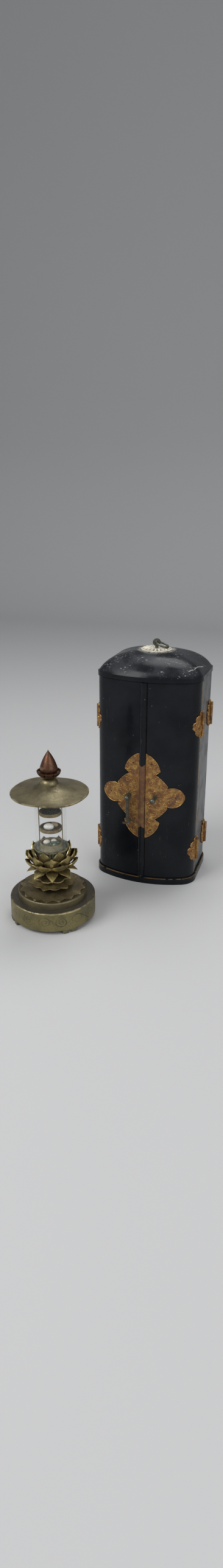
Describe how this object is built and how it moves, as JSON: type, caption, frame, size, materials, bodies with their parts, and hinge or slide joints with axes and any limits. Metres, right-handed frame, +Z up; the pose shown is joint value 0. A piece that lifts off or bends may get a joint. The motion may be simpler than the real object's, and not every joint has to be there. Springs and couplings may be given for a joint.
{
  "type": "relic stand with travelling case",
  "caption": "Lotus stand with a glass cylinder of relic stones under a hat-shaped canopy, beside its black lacquered bow-front case with folding doors.",
  "frame": {"origin": "centre of the case's underside, on the surface it stands on", "axes": "+Z up, the case's doors face -Y, +X to the right seen from the front; the stand stands in front to the left"},
  "size_m": [0.1737, 0.2328, 0.2679],
  "materials": {
    "drum_bronze": "old bronze, brown and olive, worn bright at the edges",
    "petal_brass": "olive gold brass with engraved lines",
    "pod_bronze": "dark bronze with dust in the flutes",
    "clear_glass": "clear old glass, slightly green",
    "rack_metal": "dull brown metal",
    "stone": "milky pebbles",
    "canopy_bronze": "olive brown hammered sheet",
    "red_copper": "dark red brown copper",
    "lacquer": "blue black lacquer, satin gloss, gold inside",
    "gilt_copper": "gilt copper with brown patina",
    "dark_bronze": "dark grey green bronze",
    "pale_metal": "cream deposit over metal"
  },
  "bodies": {
    "case_carcass": {"case_base": "lacquer", "floor_board": "lacquer", "back_panel": "lacquer", "roof": "lacquer", "rosette": "pale_metal", "eye_post": "dark_bronze", "left_rear_hinge_back": "gilt_copper", "right_rear_hinge_back": "gilt_copper", "back_nails": "gilt_copper"},
    "stand": {"drum": "drum_bronze", "bottom_plate": "drum_bronze", "feet": "drum_bronze", "step": "drum_bronze", "tie_rod": "petal_brass", "rod_nut": "petal_brass", "lotus_skirt": "petal_brass", "lotus_flare": "petal_brass", "bead_plate": "petal_brass", "lower_spacer": "petal_brass", "upper_spacer": "petal_brass", "drooping_petals": "petal_brass", "outer_petals": "petal_brass", "middle_petals": "petal_brass", "inner_petals": "petal_brass", "seed_pod": "pod_bronze", "glass_tube": "clear_glass", "relic_cup": "rack_metal", "lower_tray": "rack_metal", "upper_tray": "rack_metal", "uprights": "rack_metal", "collar": "rack_metal", "stones": "stone"},
    "canopy": {"canopy_plug": "canopy_bronze", "canopy": "canopy_bronze", "cap": "canopy_bronze", "finial_cup": "red_copper", "jewel": "red_copper"},
    "hook": {"hook": "dark_bronze"},
    "ring": {"ring": "dark_bronze"},
    "left_side": {"left_side_leaf": "lacquer", "left_rear_hinge_side": "gilt_copper", "left_front_hinge_side": "gilt_copper", "left_side_nails": "gilt_copper"},
    "left_front": {"left_front_leaf": "lacquer", "left_lock_plate": "gilt_copper", "left_front_hinge_leaf": "gilt_copper", "left_front_nails": "gilt_copper", "door_strip": "lacquer", "strip_lock_plate": "gilt_copper", "hook_post": "dark_bronze"},
    "right_side": {"right_side_leaf": "lacquer", "right_rear_hinge_side": "gilt_copper", "right_front_hinge_side": "gilt_copper", "right_side_nails": "gilt_copper"},
    "right_front": {"right_front_leaf": "lacquer", "right_lock_plate": "gilt_copper", "right_front_hinge_leaf": "gilt_copper", "right_front_nails": "gilt_copper", "catch_post": "dark_bronze"}
  },
  "joints": [
    {"name": "left_side_swing", "type": "hinge", "parent": "case_carcass", "child": "left_side", "pos_m": [-0.058, 0.023, 0.12], "axis": [0, 0, -1], "range_deg": [0, 110]},
    {"name": "left_front_swing", "type": "hinge", "parent": "left_side", "child": "left_front", "pos_m": [-0.058, -0.023, 0.12], "axis": [0, 0, -1], "range_deg": [0, 120]},
    {"name": "right_side_swing", "type": "hinge", "parent": "case_carcass", "child": "right_side", "pos_m": [0.058, 0.023, 0.12], "axis": [0, 0, 1], "range_deg": [0, 110]},
    {"name": "right_front_swing", "type": "hinge", "parent": "right_side", "child": "right_front", "pos_m": [0.058, -0.023, 0.12], "axis": [0, 0, 1], "range_deg": [0, 120]},
    {"name": "hook_swing", "type": "hinge", "parent": "left_front", "child": "hook", "pos_m": [-0.0145, -0.0547, 0.106], "axis": [0, -1, 0], "range_deg": [-270, 45]},
    {"name": "ring_swing", "type": "hinge", "parent": "case_carcass", "child": "ring", "pos_m": [0, 0, 0.2639], "axis": [0, -1, 0], "range_deg": [0, 140]},
    {"name": "stand_lift", "type": "slide", "parent": "case_carcass", "child": "stand", "axis": [0, 0, 1], "range_m": [0, 0.15]},
    {"name": "canopy_lift", "type": "slide", "parent": "stand", "child": "canopy", "axis": [0, 0, 1], "range_m": [0, 0.05]}
  ]
}
